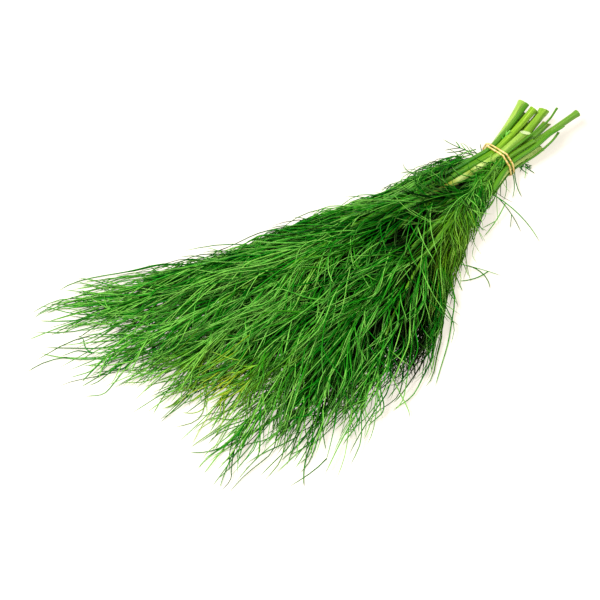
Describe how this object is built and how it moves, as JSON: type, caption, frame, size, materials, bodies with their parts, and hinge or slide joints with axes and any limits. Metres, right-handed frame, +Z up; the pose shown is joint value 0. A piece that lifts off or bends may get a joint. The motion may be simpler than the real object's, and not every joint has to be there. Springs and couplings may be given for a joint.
{
  "type": "dill bunch",
  "caption": "Fresh dill tied near its cut stalk ends with a doubled rubber band, lying flat with its thread-like leaves fanned out.",
  "frame": {"origin": "middle of the bunch's footprint, on the surface that it lies on", "axes": "+X along the bunch from the leaf tips towards the cut stalk ends, +Z up from the surface, +Y to the left of +X seen from above, towards the side where the tips reach furthest out"},
  "size_m": [0.3722, 0.2078, 0.03],
  "materials": {
    "stalk": "smooth, finely ribbed, slightly waxy",
    "leaf_stalk": "smooth, slightly waxy",
    "leaf": "fine soft threads, slightly waxy",
    "band": "smooth, semi-gloss"
  },
  "bodies": {
    "root": {"stalk_01": "stalk", "frond_01_left": "leaf", "frond_01_right": "leaf", "frond_01_tip": "leaf", "stalk_02": "stalk", "frond_02_left": "leaf", "frond_02_right": "leaf", "frond_02_tip": "leaf", "stalk_03": "stalk", "frond_03_left": "leaf", "frond_03_right": "leaf", "frond_03_tip": "leaf", "stalk_04": "stalk", "frond_04_left": "leaf", "frond_04_right": "leaf", "frond_04_tip": "leaf", "stalk_05": "stalk", "frond_05_left": "leaf", "frond_05_right": "leaf", "frond_05_tip": "leaf", "stalk_06": "stalk", "frond_06_left": "leaf", "frond_06_right": "leaf", "frond_06_tip": "leaf", "stalk_07": "stalk", "frond_07_left": "leaf", "frond_07_right": "leaf", "frond_07_tip": "leaf", "stalk_08": "stalk", "frond_08_left": "leaf", "frond_08_right": "leaf", "frond_08_tip": "leaf", "stalk_09": "stalk", "frond_09_left": "leaf", "frond_09_right": "leaf", "frond_09_tip": "leaf", "stalk_10": "stalk", "frond_10_left": "leaf", "frond_10_right": "leaf", "frond_10_tip": "leaf", "stalk_11": "stalk", "frond_11_left": "leaf", "frond_11_right": "leaf", "frond_11_tip": "leaf", "stalk_12": "stalk", "frond_12_left": "leaf", "frond_12_right": "leaf", "frond_12_tip": "leaf", "stalk_13": "stalk", "frond_13_left": "leaf", "frond_13_right": "leaf", "frond_13_tip": "leaf", "petiole_1": "leaf_stalk", "petiole_2": "leaf_stalk", "petiole_3": "leaf_stalk", "neck_frond_left": "leaf", "neck_frond_top": "leaf", "neck_frond_right": "leaf", "rubber_band": "band"}
  },
  "joints": []
}
